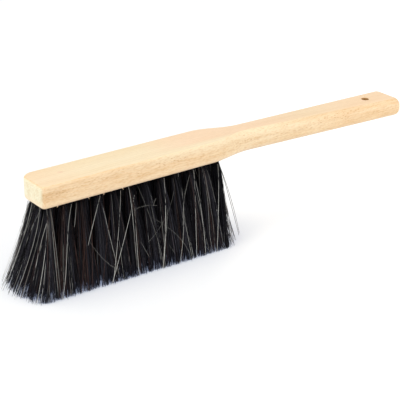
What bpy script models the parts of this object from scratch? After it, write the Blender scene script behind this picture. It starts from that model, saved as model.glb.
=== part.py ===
"""Car wash brush: a one-piece beech stock with staggered tufts of bristle seated in blind holes.

Metres, +Z up. +X runs along the handle, away from the head. The bristle tips stand on z = 0, and the origin
is under the middle of the brush's length and width.
"""
import math
import random
from collections import namedtuple

import bmesh
import bpy
import numpy as np
from mathutils import Matrix
from mathutils.geometry import delaunay_2d_cdt

# Stock, head and handle in one piece
OVERALL_LENGTH = 0.4495
STOCK_THICKNESS = 0.0225
HEAD_WIDTH = 0.0422
HEAD_LENGTH = 0.193  # the straight-sided part
SHOULDER_LENGTH = 0.049  # from the straight sides to the neck
NECK_WIDTH = 0.0287
GRIP_END_WIDTH = 0.0409
HEAD_NEAR_CORNER_RADIUS = 0.0055  # on the -Y side
HEAD_FAR_CORNER_RADIUS = 0.013  # on the +Y side
GRIP_CORNER_RADIUS = 0.0087
HEAD_TOP_EDGE_RADIUS = 0.0026
HEAD_BOTTOM_EDGE_RADIUS = 0.0045
HANDLE_TOP_EDGE_RADIUS = 0.0081
HANDLE_BOTTOM_EDGE_RADIUS = 0.0063
HANDLE_TOP_SLOPE = math.radians(1.67)  # the handle thins towards its end, because its top slopes more
HANDLE_BOTTOM_SLOPE = math.radians(0.81)
SET_DOWN_BEND_LENGTH = 0.050
HANG_HOLE_DIAMETER = 0.008
HANG_HOLE_FROM_END = 0.0374

# Tuft holes in the underside of the head
TUFT_ROWS = 5
TUFTS_IN_LONG_ROW = 12
TUFT_HOLE_DIAMETER = 0.006
TUFT_HOLE_DEPTH = 0.014
SIDE_HOLE_MARGIN = 0.00055  # flat wood between the outer holes and the rounded side edge
END_HOLE_MARGIN = 0.0015  # flat wood between the first holes and the rounded end edge
CORNER_HOLE_MARGIN = 0.0012  # flat wood between a hole and the rounded edge at a corner
FIELD_PAST_STRAIGHT = 0.0075  # how far the last tuft stands past the straight sides

# Bristle
TRIM = 0.085  # free length, from the underside of the head down to the tips
HEAD_END_LEAN = 0.0210  # outward travel of the first tufts from root to tip, in the middle row
CORNER_LEAN_LOSS = 0.30  # share of it that the outer rows lack
NECK_END_LEAN = 0.0040
END_LEAN_FADE = 0.040  # distance along the head over which the end lean dies away
HEAD_SIDE_LEAN = 0.0130  # sideways travel of the outer rows, at the head's end and at the neck
NECK_SIDE_LEAN = 0.0178
WIDEST_SPREAD = 0.0060  # most that a tuft's outer strands stand from its axis at the tips
MID_SPLAY = 0.44  # share of its splay that a strand has at half its depth
STRAND_TIP_RADIUS = 0.0009
TIP_SCATTER = 0.0005  # most that a tip strays along X or Y
RAGGED_LENGTH = 0.0040  # most that a strand falls short of the trim
RAGGED_SHARE = 0.4  # share of the outer strands that fall short
BRISTLE_SEED = 7

# Clearances
SEAT_GAP = 0.0003  # between a tuft and its hole, at the wall and at the bottom
STRAND_GAP = 0.0002  # between the strands of a tuft where they leave the hole
TIP_GAP = 0.0004  # least room between the strands of two tufts at the tips
CUT_OVERSHOOT = 0.002
MESHING_TOLERANCE = 1e-7

# Facets
CORNER_STEPS = 6
SHOULDER_STEPS = 14
HANDLE_STEPS = 6
TOP_EDGE_STEPS = 4
BOTTOM_EDGE_STEPS = 5
HANG_HOLE_SIDES = 16
TUFT_SIDES = 8
STRAND_SIDES = 3
STRANDS_ROUND_TUFT = 6

# Colours
BEECH_COLOUR = (0.91, 0.69, 0.44, 1.0)
BRISTLE_COLOUR = (0.018, 0.017, 0.020, 1.0)

# Places that follow from the sizes, along the stock from the head's end face
HEAD_HALF = HEAD_WIDTH / 2
NECK_START = HEAD_LENGTH + SHOULDER_LENGTH
GRIP_TAPER = (GRIP_END_WIDTH - NECK_WIDTH) / 2 / (OVERALL_LENGTH - NECK_START)
UNDERSIDE_Z = TRIM
TOP_Z = TRIM + STOCK_THICKNESS
HOLE_RADIUS = TUFT_HOLE_DIAMETER / 2
FIRST_TUFT = HEAD_BOTTOM_EDGE_RADIUS + HOLE_RADIUS + END_HOLE_MARGIN
LAST_TUFT = HEAD_LENGTH + FIELD_PAST_STRAIGHT
TUFT_PITCH = (LAST_TUFT - FIRST_TUFT) / (TUFTS_IN_LONG_ROW - 1)
OUTER_ROW_Y = HEAD_HALF - HEAD_BOTTOM_EDGE_RADIUS - HOLE_RADIUS - SIDE_HOLE_MARGIN
ROW_SPACING = 2 * OUTER_ROW_Y / (TUFT_ROWS - 1)

# A tuft's bundle is one strand ringed by others, and it fills the hole less the seat gap
PLUG_RADIUS = HOLE_RADIUS - SEAT_GAP
PLUG_FLAT_RADIUS = PLUG_RADIUS * math.cos(math.pi / TUFT_SIDES)
STRAND_ROOT_RADIUS = (PLUG_FLAT_RADIUS - 1.5 * STRAND_GAP) / 3
BUNDLE_RADIUS = 2 * STRAND_ROOT_RADIUS + STRAND_GAP

# Where a strand's middle starts, where it would meet the floor, and how far down it reaches
Strand = namedtuple("Strand", "root tip length")


def clear_scene():
    for obj in list(bpy.data.objects):
        bpy.data.objects.remove(obj, do_unlink=True)


def make_material(name, colour, roughness):
    material = bpy.data.materials.new(name)
    material.use_nodes = True
    shader = material.node_tree.nodes["Principled BSDF"]
    shader.inputs["Base Color"].default_value = colour
    shader.inputs["Roughness"].default_value = roughness
    shader.inputs["Metallic"].default_value = 0.0
    material.diffuse_color = colour
    return material


def add_object(name, mesh, material=None):
    obj = bpy.data.objects.new(name, mesh)
    bpy.context.scene.collection.objects.link(obj)
    if material:
        mesh.materials.append(material)
    return obj


def seat_in_corner(along, across):
    """A tuft's place, moved inwards where its hole would break the rounded edge at a corner of the head's end."""
    radius = HEAD_FAR_CORNER_RADIUS if across > 0 else HEAD_NEAR_CORNER_RADIUS
    centre = np.array((radius, math.copysign(HEAD_HALF - radius, across)))
    place = np.array((along, across))
    past = place - centre
    if past[0] > 0 or past[1] * centre[1] < 0:
        return place
    room = radius - HEAD_BOTTOM_EDGE_RADIUS - HOLE_RADIUS - CORNER_HOLE_MARGIN
    return centre + past * min(1, room / np.linalg.norm(past))


def tuft_roots():
    """Each tuft's name and its root's place from the head's end face: staggered rows, front to back."""
    roots = []
    for row in range(TUFT_ROWS):
        offset_row = row % 2
        for column in range(TUFTS_IN_LONG_ROW - offset_row):
            name = f"tuft_{chr(ord('a') + row)}{column + 1:02d}"
            along = FIRST_TUFT + (column + offset_row / 2) * TUFT_PITCH
            roots.append((name, *seat_in_corner(along, row * ROW_SPACING - OUTER_ROW_Y)))
    return roots


def tuft_tip(along, across):
    """Where a tuft's axis ends: it leans out near each end of the head, and more towards each side."""
    outward = across / OUTER_ROW_Y
    head_lean = HEAD_END_LEAN * (1 - CORNER_LEAN_LOSS * outward**2) * math.exp((FIRST_TUFT - along) / END_LEAN_FADE)
    neck_lean = NECK_END_LEAN * math.exp((along - LAST_TUFT) / END_LEAN_FADE)
    side_lean = np.interp(along, (FIRST_TUFT, LAST_TUFT), (HEAD_SIDE_LEAN, NECK_SIDE_LEAN))
    return along + neck_lean - head_lean, across + outward * side_lean


def nearest_distances(points):
    """How far each point is from the nearest other one."""
    apart = np.linalg.norm(points[:, None] - points[None], axis=2)
    np.fill_diagonal(apart, np.inf)
    return apart.min(axis=1)


# Each tuft's strands spread as far as the nearest other tuft's leave room for, within a limit
TUFT_ROOTS = tuft_roots()
TUFT_TIPS = np.array([tuft_tip(along, across) for _, along, across in TUFT_ROOTS])
TUFT_ROOM = (nearest_distances(TUFT_TIPS) - TIP_GAP) / 2 - STRAND_TIP_RADIUS - math.sqrt(2) * TIP_SCATTER
TUFT_SPREADS = np.minimum(TUFT_ROOM, WIDEST_SPREAD)

# The first tufts' tips reach past the head's end, and the origin lies midway from there to the grip's end
HEAD_END_REACH = (TUFT_SPREADS - TUFT_TIPS[:, 0]).max()
HEAD_END_X = (HEAD_END_REACH - OVERALL_LENGTH) / 2


def shoulder_blend(along):
    """0 on the head and 1 on the handle, rising smoothly across the shoulder."""
    t = np.clip((along - HEAD_LENGTH) / SHOULDER_LENGTH, 0, 1)
    return t * t * (3 - 2 * t)


def side_half_width(along):
    """Half the stock's width: straight head, smooth shoulder, handle that widens evenly towards its end."""
    handle = NECK_WIDTH / 2 + GRIP_TAPER * np.maximum(along - NECK_START, 0)
    return HEAD_HALF + (handle - HEAD_HALF) * shoulder_blend(along)


def set_down(along, slope):
    """How far a face of the handle lies below the head's line: a parabolic bend, then a straight slope."""
    past = np.maximum(along - HEAD_LENGTH, 0)
    bend = np.minimum(past, SET_DOWN_BEND_LENGTH)
    return math.tan(slope) * (past - bend + bend**2 / (2 * SET_DOWN_BEND_LENGTH))


def corner_arc(centre, radius, start, end):
    """Points and outward normals of an arc between two angles."""
    angle = np.linspace(start, end, CORNER_STEPS + 1)
    normal = np.column_stack((np.cos(angle), np.sin(angle)))
    return np.array(centre) + radius * normal, normal


def stock_outline(head_corner_radius):
    """Half the plan outline, head end to grip end, as points and outward normals, for the +Y side."""
    head_arc = corner_arc(
        (head_corner_radius, HEAD_HALF - head_corner_radius), head_corner_radius, math.pi, math.pi / 2
    )
    slope = math.atan(GRIP_TAPER)
    grip_x = OVERALL_LENGTH - GRIP_CORNER_RADIUS
    grip_y = float(side_half_width(grip_x)) - GRIP_CORNER_RADIUS / math.cos(slope)
    grip_arc = corner_arc((grip_x, grip_y), GRIP_CORNER_RADIUS, math.pi / 2 + slope, 0)
    shoulder = np.linspace(HEAD_LENGTH, NECK_START, SHOULDER_STEPS + 1)
    handle = np.linspace(NECK_START, grip_arc[0][0, 0], HANDLE_STEPS + 1)[1:-1]
    along = np.concatenate((shoulder, handle))
    rise = np.gradient(side_half_width(along), along)
    rise[0] = 0
    rise[SHOULDER_STEPS] = GRIP_TAPER
    normals = np.column_stack((-rise, np.ones_like(rise))) / np.sqrt(1 + rise**2)[:, None]
    sides = np.column_stack((along, side_half_width(along)))
    return np.vstack((head_arc[0], sides, grip_arc[0])), np.vstack((head_arc[1], normals, grip_arc[1]))


def edge_rings(points, normals):
    """Rings of the rounded edges, top to bottom: each insets the outline along its normals and drops."""
    blend = shoulder_blend(points[:, 0])
    top_radius = HEAD_TOP_EDGE_RADIUS + (HANDLE_TOP_EDGE_RADIUS - HEAD_TOP_EDGE_RADIUS) * blend
    bottom_radius = HEAD_BOTTOM_EDGE_RADIUS + (HANDLE_BOTTOM_EDGE_RADIUS - HEAD_BOTTOM_EDGE_RADIUS) * blend
    levels = []
    for angle in np.linspace(math.pi / 2, 0, TOP_EDGE_STEPS + 1):
        inset, drop = 1 - math.cos(angle), 1 - math.sin(angle)
        levels.append((inset * top_radius, TOP_Z - drop * top_radius, HANDLE_TOP_SLOPE))
    for angle in np.linspace(0, math.pi / 2, BOTTOM_EDGE_STEPS + 1):
        inset, rise = 1 - math.cos(angle), 1 - math.sin(angle)
        levels.append((inset * bottom_radius, UNDERSIDE_Z + rise * bottom_radius, HANDLE_BOTTOM_SLOPE))
    half_rings = []
    for inset, height, slope in levels:
        along, across = (points - normals * inset[:, None]).T
        half_rings.append(np.column_stack((along + HEAD_END_X, across, height - set_down(along, slope))))
    return half_rings


def stock_mesh():
    """The stock's skin: rounded edge rings joined by quads, closed above and below by quads across it."""
    far_rings = edge_rings(*stock_outline(HEAD_FAR_CORNER_RADIUS))
    near_rings = edge_rings(*stock_outline(HEAD_NEAR_CORNER_RADIUS))
    stations = len(far_rings[0])
    loop = 2 * stations
    vertices = []
    for far, near in zip(far_rings, near_rings):
        vertices += far.tolist()
        vertices += (near[::-1] * (1, -1, 1)).tolist()
    faces = []
    for ring in range(len(far_rings) - 1):
        for i in range(loop):
            j = (i + 1) % loop
            faces.append((ring * loop + i, ring * loop + j, (ring + 1) * loop + j, (ring + 1) * loop + i))
    for first in (0, (len(far_rings) - 1) * loop):
        for i in range(stations - 1):
            faces.append((first + i, first + i + 1, first + loop - 2 - i, first + loop - 1 - i))
    mesh = bpy.data.meshes.new("stock")
    mesh.from_pydata(vertices, [], faces)
    bm = bmesh.new()
    bm.from_mesh(mesh)
    bmesh.ops.recalc_face_normals(bm, faces=bm.faces)
    bm.to_mesh(mesh)
    bm.free()
    return mesh


def cutter(name, pillars, radius, sides):
    """A hidden cutter of upright pillars, each given by its x, y, lowest and highest z."""
    bm = bmesh.new()
    size = {"segments": sides, "radius1": radius, "radius2": radius}
    for x, y, low, high in pillars:
        place = Matrix.Translation((x, y, (low + high) / 2)) @ Matrix.Rotation(math.pi / sides, 4, "Z")
        bmesh.ops.create_cone(bm, cap_ends=True, depth=high - low, matrix=place, **size)
    mesh = bpy.data.meshes.new(name)
    bm.to_mesh(mesh)
    bm.free()
    obj = add_object(name, mesh)
    obj.hide_render = True
    obj.display_type = "WIRE"
    return obj


def cut(obj, tool):
    modifier = obj.modifiers.new(tool.name, "BOOLEAN")
    modifier.operation = "DIFFERENCE"
    modifier.solver = "EXACT"
    modifier.object = tool


def make_stock(material):
    mesh = stock_mesh()
    mesh.shade_smooth()
    mesh.set_sharp_from_angle(angle=math.radians(35))
    stock = add_object("stock", mesh, material)
    tuft_pillars = []
    for _, along, across in TUFT_ROOTS:
        tuft_pillars.append(
            (HEAD_END_X + along, across, UNDERSIDE_Z - CUT_OVERSHOOT, UNDERSIDE_Z + TUFT_HOLE_DEPTH)
        )
    cut(stock, cutter("tuft_hole_cutter", tuft_pillars, HOLE_RADIUS, TUFT_SIDES))
    hole_along = OVERALL_LENGTH - HANG_HOLE_FROM_END
    hang_pillar = (
        HEAD_END_X + hole_along,
        0,
        UNDERSIDE_Z - float(set_down(hole_along, HANDLE_BOTTOM_SLOPE)) - CUT_OVERSHOOT,
        TOP_Z - float(set_down(hole_along, HANDLE_TOP_SLOPE)) + CUT_OVERSHOOT,
    )
    cut(stock, cutter("hang_hole_cutter", [hang_pillar], HANG_HOLE_DIAMETER / 2, HANG_HOLE_SIDES))


def strand_plan(lean, spread, rng):
    """A tuft's strands, measured from its root on the head's underside, the middle one first."""
    strands = [Strand(np.zeros(2), lean, TRIM)]
    for k in range(STRANDS_ROUND_TUFT):
        angle = 2 * math.pi * (k + 0.5) / STRANDS_ROUND_TUFT
        direction = np.array((math.cos(angle), math.sin(angle)))
        scatter = np.array([rng.uniform(-TIP_SCATTER, TIP_SCATTER) for _ in range(2)])
        short = rng.uniform(0, RAGGED_LENGTH) if rng.random() < RAGGED_SHARE else 0
        tip = lean + spread * direction + scatter
        strands.append(Strand(BUNDLE_RADIUS * direction, tip, TRIM - short))
    return strands


def splay(depth):
    """The share of its splay that a strand has at a depth below the head: two straight runs."""
    return np.interp(depth, (0, TRIM / 2, TRIM), (0, MID_SPLAY, 1))


def strand_radius(depth):
    """The distance from a strand's middle to its corners, which changes evenly from root to tip."""
    return STRAND_ROOT_RADIUS + (STRAND_TIP_RADIUS - STRAND_ROOT_RADIUS) * depth / TRIM


def strand_section(strand, depth):
    """A strand's corner points at a depth: a level polygon whose first corner points away from the tuft."""
    x, y = strand.root + (strand.tip - strand.root) * splay(depth)
    radius = strand_radius(depth)
    turn = math.atan2(strand.root[1], strand.root[0])
    corners = []
    for k in range(STRAND_SIDES):
        angle = turn + 2 * math.pi * k / STRAND_SIDES
        corners.append((x + radius * math.cos(angle), y + radius * math.sin(angle), -depth))
    return corners


def plug_face(bm, strands):
    """The bundle's mouth, level with the underside, meshed round the strands' root faces. Returns those."""
    outline = []
    for k in range(TUFT_SIDES):
        angle = 2 * math.pi * (k + 0.5) / TUFT_SIDES
        outline.append((PLUG_RADIUS * math.cos(angle), PLUG_RADIUS * math.sin(angle)))
    roots = [corner[:2] for strand in strands for corner in strand_section(strand, 0)]
    strand_outlines = []
    for k in range(len(strands)):
        first = TUFT_SIDES + STRAND_SIDES * k
        strand_outlines.append(list(range(first, first + STRAND_SIDES)))
    convex_hull = 0
    points, _, faces, _, _, sources = delaunay_2d_cdt(
        outline + roots, [], strand_outlines, convex_hull, MESHING_TOLERANCE
    )
    verts = [bm.verts.new((x, y, 0)) for x, y in points]
    root_faces = {}
    for face, source in zip(faces, sources):
        made = bm.faces.new([verts[i] for i in reversed(face)])
        if source:
            root_faces[source[0]] = made
    return [root_faces[k] for k in range(len(strands))]


def corners_in_order(face, strand):
    """A strand face's vertices in the order of strand_section, found by their angle round their middle."""
    middle = face.calc_center_median()
    first_angle = math.atan2(strand.root[1], strand.root[0]) - math.pi / STRAND_SIDES

    def turn(vert):
        return (math.atan2(vert.co.y - middle.y, vert.co.x - middle.x) - first_angle) % (2 * math.pi)

    return sorted(face.verts, key=turn)


def tuft_mesh(name, strands):
    """One closed body: the bundle in its hole, and the strands that grow down out of its mouth."""
    bm = bmesh.new()
    root_faces = plug_face(bm, strands)
    rim = [edge for edge in bm.edges if edge.is_boundary]
    walls = bmesh.ops.extrude_edge_only(bm, edges=rim)["geom"]
    top = [item for item in walls if isinstance(item, bmesh.types.BMVert)]
    bmesh.ops.translate(bm, verts=top, vec=(0, 0, TUFT_HOLE_DEPTH - SEAT_GAP))
    bmesh.ops.contextual_create(bm, geom=[edge for edge in bm.edges if edge.is_boundary])
    for strand, face in zip(strands, root_faces):
        for depth in (TRIM / 2, strand.length):
            face = bmesh.ops.extrude_discrete_faces(bm, faces=[face])["faces"][0]
            for vert, corner in zip(corners_in_order(face, strand), strand_section(strand, depth)):
                vert.co = corner
    bmesh.ops.recalc_face_normals(bm, faces=bm.faces)
    mesh = bpy.data.meshes.new(name)
    bm.to_mesh(mesh)
    bm.free()
    return mesh


def make_tufts(material):
    """Every tuft in its hole. Prints the least room between any two strands, edge to edge."""
    rng = random.Random(BRISTLE_SEED)
    roots = []
    tips = []
    for (name, along, across), tip, spread in zip(TUFT_ROOTS, TUFT_TIPS, TUFT_SPREADS):
        strands = strand_plan(tip - (along, across), spread, rng)
        tuft = add_object(name, tuft_mesh(name, strands), material)
        tuft.location = (HEAD_END_X + along, across, UNDERSIDE_Z)
        roots += [strand.root + (along, across) for strand in strands]
        tips += [strand.tip + (along, across) for strand in strands]
    roots, tips = np.array(roots), np.array(tips)
    for label, depth in (("root", 0), ("middle", TRIM / 2), ("tip", TRIM)):
        room = nearest_distances(roots + (tips - roots) * splay(depth)).min() - 2 * strand_radius(depth)
        print(f"least room between {len(roots)} strands at the {label}: {room * 1000:.2f} mm")


clear_scene()
make_stock(make_material("beech", BEECH_COLOUR, 0.5))
make_tufts(make_material("bristle", BRISTLE_COLOUR, 0.45))
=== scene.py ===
"""Car wash brush, dressed: a beech stock, 58 tufts of dyed fibre with a few loose hairs, and the camera,
floor and soft light of a plain studio picture.

Metres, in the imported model's frame: +X runs along the handle away from the head, +Y across it, +Z up, and the
bristle tips stand on z = 0. Lengths named "along" are measured from the head's end face.
"""
import math
import bpy
import numpy as np
from mathutils import Matrix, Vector
from mathutils.geometry import delaunay_2d_cdt


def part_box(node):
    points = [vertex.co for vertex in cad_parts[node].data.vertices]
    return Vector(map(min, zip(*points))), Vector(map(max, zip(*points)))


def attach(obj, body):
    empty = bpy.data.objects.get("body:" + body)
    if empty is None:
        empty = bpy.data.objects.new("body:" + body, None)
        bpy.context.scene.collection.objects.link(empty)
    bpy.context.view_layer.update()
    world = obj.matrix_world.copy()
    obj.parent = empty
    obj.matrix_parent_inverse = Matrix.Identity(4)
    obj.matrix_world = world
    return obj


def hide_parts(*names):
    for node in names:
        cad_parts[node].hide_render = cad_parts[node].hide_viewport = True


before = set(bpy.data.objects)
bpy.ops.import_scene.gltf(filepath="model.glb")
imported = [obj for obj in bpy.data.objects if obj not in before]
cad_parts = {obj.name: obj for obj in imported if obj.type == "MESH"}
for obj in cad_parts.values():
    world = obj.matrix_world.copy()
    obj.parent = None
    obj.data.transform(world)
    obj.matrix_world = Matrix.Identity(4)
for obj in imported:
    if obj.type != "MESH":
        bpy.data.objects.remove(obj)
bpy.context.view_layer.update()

BODY = "root"
HEAD_END_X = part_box("stock")[0].x

# Stock
OVERALL_LENGTH = 0.4495
STOCK_THICKNESS = 0.0225
HEAD_WIDTH = 0.0422
HEAD_LENGTH = 0.193
SHOULDER_LENGTH = 0.049
NECK_WIDTH = 0.0287
GRIP_END_WIDTH = 0.0409
HEAD_NEAR_CORNER_RADIUS = 0.0055  # on the -Y side
HEAD_FAR_CORNER_RADIUS = 0.013  # on the +Y side
GRIP_CORNER_RADIUS = 0.0087
HEAD_TOP_EDGE_RADIUS = 0.0026
HEAD_BOTTOM_EDGE_RADIUS = 0.0045
HANDLE_TOP_EDGE_RADIUS = 0.0081
HANDLE_BOTTOM_EDGE_RADIUS = 0.0063
TOP_SLOPE = math.tan(math.radians(1.67))  # the handle's top and underside slope down towards its end
BOTTOM_SLOPE = math.tan(math.radians(0.81))
SET_DOWN_BEND_LENGTH = 0.050
HANG_HOLE_RADIUS = 0.0040
HANG_HOLE_FROM_END = 0.0374
HANG_HOLE_RIM = 0.0005  # rounding of the hanging hole's rims
HEAD_HALF = HEAD_WIDTH / 2
NECK_START = HEAD_LENGTH + SHOULDER_LENGTH
GRIP_TAPER = (GRIP_END_WIDTH - NECK_WIDTH) / 2 / (OVERALL_LENGTH - NECK_START)
UNDERSIDE_Z = 0.085
TOP_Z = UNDERSIDE_Z + STOCK_THICKNESS

# Tuft holes
TUFT_ROWS = 5
TUFTS_IN_LONG_ROW = 12
HOLE_RADIUS = 0.003
HOLE_DEPTH = 0.014
DRILL_POINT = 0.0012  # height of the cone that the drill leaves at a hole's bottom
CORNER_HOLE_MARGIN = 0.0012
SHOULDER_HOLE_INSET = 0.0002
FIRST_TUFT = 0.009
LAST_TUFT = 0.2005
TUFT_PITCH = (LAST_TUFT - FIRST_TUFT) / (TUFTS_IN_LONG_ROW - 1)
OUTER_ROW_Y = 0.01305
ROW_SPACING = 2 * OUTER_ROW_Y / (TUFT_ROWS - 1)
SECOND_TUFT = FIRST_TUFT + TUFT_PITCH / 2  # the first of the staggered rows
FIRST_TUFTS_END = FIRST_TUFT + 0.004  # lines between the first tufts' roots, the second ones' and the rest
SECOND_TUFTS_END = SECOND_TUFT + 0.001
LAST_TUFTS_START = LAST_TUFT - 0.002
OUTER_ROWS_START = 0.9 * OUTER_ROW_Y
MIDDLE_ROW_HALF = 0.001

# Fibre
TRIM = 0.085
HEAD_END_LEAN = 0.0210
CORNER_LEAN_LOSS = 0.30
NECK_END_LEAN = 0.0040
END_LEAN_FADE = 0.040
HEAD_SIDE_LEAN = 0.0130
NECK_SIDE_LEAN = 0.0178
FIBRES_IN_TUFT = 240
FIBRES_IN_OUTER_TUFT = 350
BUNDLE_RADIUS = 0.0026
ROOT_DEPTH = 0.0125  # of the fibres' roots in the tuft hole
FIBRE_TAPER = 0.25
TIP_REACH_ALONG = 0.0104  # from a tuft's middle to its furthest tips, along and across the head
TIP_REACH_ACROSS = 0.0074
END_STRETCH = 0.35  # how much further the first tufts' tips reach along, because their lean draws them apart
OUTER_TIP_REACH = 0.0100  # outwards from the front and back rows
END_TIP_REACH = (0.0128, 0.0195, 0.0062)  # outwards along, from the first, second and last tufts
END_REACH_FADE = 0.004
END_SIDE_REACH = (0.0105, 0.0150)  # outwards and inwards across, from the first tufts
HEAD_END_TIPS = (-0.0225, 0.0110, 0.0330)  # how the brush of tips is rounded in at its ends: its end, the
NECK_END_TIPS = (0.2088, 0.0140, 0.0410)  # corners' loss, and the distance from the middle where they lose it
FOLD_BACK = (1.0, 1.5)  # how far a tip past a rounded end comes back, in times what it is past it
OUTER_SQUARENESS = 0.9  # powers that square off a tuft's disc of tips: 0 leaves it round, 1 makes it square
INNER_SQUARENESS = 0.6
LOCKS_IN_TUFT = 20
EDGE_CROWDING = 0.45  # power of the spread outwards at the brush's edges: below 1 the tips crowd to the edge
LOCK_PULL = 0.14  # share of the way that a fibre's tip is drawn to its lock's leading fibre
LOCK_DRIFT = (0.0010, 0.0003)  # how far a lock wanders, along and across, and then a tip by itself
TIP_SCATTER = (0.0008, 0.0005)
WILD_SHARE = 0.06  # of the fibres that stray further
WILD_SCATTER = (0.0050, 0.0016)
SHORTFALL = (0.0002, 0.0003)  # by how much a lock and a fibre fall short of the trim, as spreads
SHORT_SHARE = 0.07  # of the fibres that are shorter still, and by how much at most
SHORT_FIBRE_LOSS = 0.004
SWING = 0.0006  # spread of the fibres' waves, and how many a fibre has
WILD_EXTRA_SWING = 2
WAVES = (0.5, 1.3)
FLARES = (0.60, 1.05)  # powers of the depth that a fibre's splay follows: below 1 it flares early
END_FLARES = (1.15, 1.6)  # outwards from the first and last tufts, along the head
NECK_GAP_FLARES = (0.25, 0.60)  # of the last tufts' headward fibres, which close the mass beside them
NECK_GAP_SPREAD = -0.2  # how far headward that is, as a share of the reach
INNER_FLARES = (1.0, 1.5)  # across, of the outer rows' inward fibres, which hang straighter
MIDDLE_FLARES = (0.40, 0.80)  # across, of the middle row's fibres, which fan out early
FRONT_FLARE = 0.85
HAIR_REACH = 0.0102  # of the dense part of the front rows' tips, where the standing hairs lie
HAIR_LIFT = 0.0013  # of those hairs off the mass behind them
HAIR_TAPER = 0.25
FLOOR_GAP = 0.0002
HEAD_FRINGE = (0.16, 0.0070, 0.14)  # of the first tufts: share of the fibres, furthest reach, share undyed
NECK_FRINGE = (0.20, 0.0105, 0.04)  # of the last tufts
FRINGE_START = 0.1  # share of the bundle's radius past which its fibres may be in the fringe
FIBRE_SEED = 11

# Hairs that stand out on the front: dye, radius in mm, and places along and up in mm
FINE_HAIR = (0.912, 0.145)
FRONT_HAIRS = (
    (1.000, 0.25, ((85.6, 83.3), (73.9, 42.1), (61.3, 0.8))),
    (1.000, 0.29, ((99.2, 75.9), (83.1, 44.5), (59.9, 0.8))),
    (1.000, 0.25, ((97.5, 68.1), (93.3, 33.9), (90.3, 0.8))),
    (0.980, 0.22, ((62.9, 83.2), (49.7, 59.7), (41.3, 42.6))),
    (0.985, 0.25, ((32.0, 83.1), (22.4, 57.3), (17.4, 36.4), (6.8, 0.8))),
    (0.950, 0.22, ((37.2, 82.9), (30.6, 62.7))),
    (*FINE_HAIR, ((43.9, 45.4), (55.6, 25.7), (66.3, 14.5))),
    (*FINE_HAIR, ((104.5, 83.0), (108.1, 69.0), (112.5, 50.0), (119.0, 0.8))),
    (*FINE_HAIR, ((96.8, 33.9), (104.3, 15.7))),
    (0.975, 0.29, ((135.1, 83.8), (128.6, 46.3), (117.3, 0.8))),
    (0.985, 0.18, ((132.4, 53.7), (127.0, 34.3), (118.0, 0.8))),
    (0.960, 0.24, ((152.5, 70.5), (147.3, 33.5), (136.8, 0.8))),
    (0.945, 0.20, ((164.7, 80.5), (154.6, 62.9), (146.8, 35.7))),
    (1.000, 0.25, ((170.4, 83.2), (163.9, 46.3), (157.2, 0.8))),
    (0.970, 0.24, ((169.8, 72.9), (170.4, 46.8), (167.8, 0.8))),
    (0.980, 0.24, ((199.5, 82.7), (190.4, 40.1), (181.4, 0.8))),
    (*FINE_HAIR, ((94.2, 62.6), (106.3, 63.7), (121.7, 60.8))),
    (*FINE_HAIR, ((112.9, 52.1), (130.2, 37.6), (141.5, 24.4), (151.4, 0.8))),
    (*FINE_HAIR, ((143.2, 69.5), (129.9, 49.0), (105.5, 29.6))),
    (*FINE_HAIR, ((128.1, 21.3), (133.1, 12.3))),
    (0.903, 0.14, ((116.0, 60.0), (121.7, 67.5))),
    (0.860, 0.24, ((46.4, 83.7), (37.5, 43.2), (26.7, 0.8))),
    (0.870, 0.22, ((51.9, 83.5), (46.6, 48.2), (38.4, 0.8))),
    (0.855, 0.22, ((75.2, 83.5), (62.1, 43.4), (50.0, 0.8))),
)

# Hairs at the two ends: dye, radius in mm, and places along, across and up in mm
END_HAIRS = (
    (0.965, 0.26, ((5.6, -7.6, 81.2), (-3.9, 9.3, 39.5), (-11.6, 18.0, 4.0))),
    (0.950, 0.24, ((2.0, 0.2, 65.8), (-6.0, 13.2, 29.4), (-12.4, 22.4, 0.6))),
    (0.975, 0.30, ((3.3, -21.0, 72.4), (-2.3, -15.9, 46.6), (-10.6, -13.4, 8.3))),
    (0.955, 0.26, ((-1.4, -18.5, 51.0), (-6.1, -13.4, 29.0), (-11.0, -10.7, 6.4))),
    (0.935, 0.20, ((4.0, 13.5, 82.5), (-12.5, 14.0, 30.0), (-28.4, 14.0, 1.1))),
    (0.925, 0.19, ((6.0, 15.0, 82.0), (-6.0, 20.0, 38.0), (-19.0, 24.0, 1.0))),
    (0.930, 0.19, ((7.5, 14.5, 82.0), (-7.0, 17.0, 44.0), (-24.0, 19.0, 9.0))),
    (0.800, 0.29, ((203.6, -15.2, 80.0), (216.3, -19.4, 39.3), (223.9, -22.9, 3.1))),
    (0.810, 0.29, ((205.0, -15.6, 76.0), (213.7, -19.1, 42.2), (223.2, -23.2, 1.0))),
    (0.805, 0.29, ((203.2, -15.4, 74.0), (207.8, -18.9, 43.9), (217.4, -23.2, 1.0))),
    (0.815, 0.29, ((203.0, -16.0, 66.0), (206.6, -20.1, 31.5), (212.6, -22.6, 1.0))),
)

# Splinters on the head's lower front edge: their place along, and how far each leans along
EDGE_SPLINTERS = ((0.0178, -0.0016), (0.0490, 0.0016), (0.0672, -0.0012), (0.0866, 0.0015))
SPLINTER_GIRTH = 0.00038
SPLINTER_FLATNESS = (1.5, 0.7)  # in times its girth, along and across
SPLINTER_THINNING = 0.96
SPLINTER_DROP = 0.0022
SPLINTER_DRIFT = 0.0012  # how far it leans out
SPLINTER_SET_IN = (0.0032, 0.0012)  # its root, in from the side and up from the underside
SPLINTER_STATIONS = 5
SPLINTER_SIDES = 6


def grid_faces(rows, columns):
    """Quads joining a grid of points that is stored row by row, its last column to its first as well."""
    row = np.arange(rows - 1)[:, None] * columns
    here = np.arange(columns)[None, :]
    following = (here + 1) % columns
    corners = (row + here, row + following, row + columns + following, row + columns + here)
    return np.stack(corners, axis=-1).reshape(-1, 4)


def new_object(name, data):
    """An object in the scene."""
    thing = bpy.data.objects.new(name, data)
    bpy.context.scene.collection.objects.link(thing)
    return thing


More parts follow.
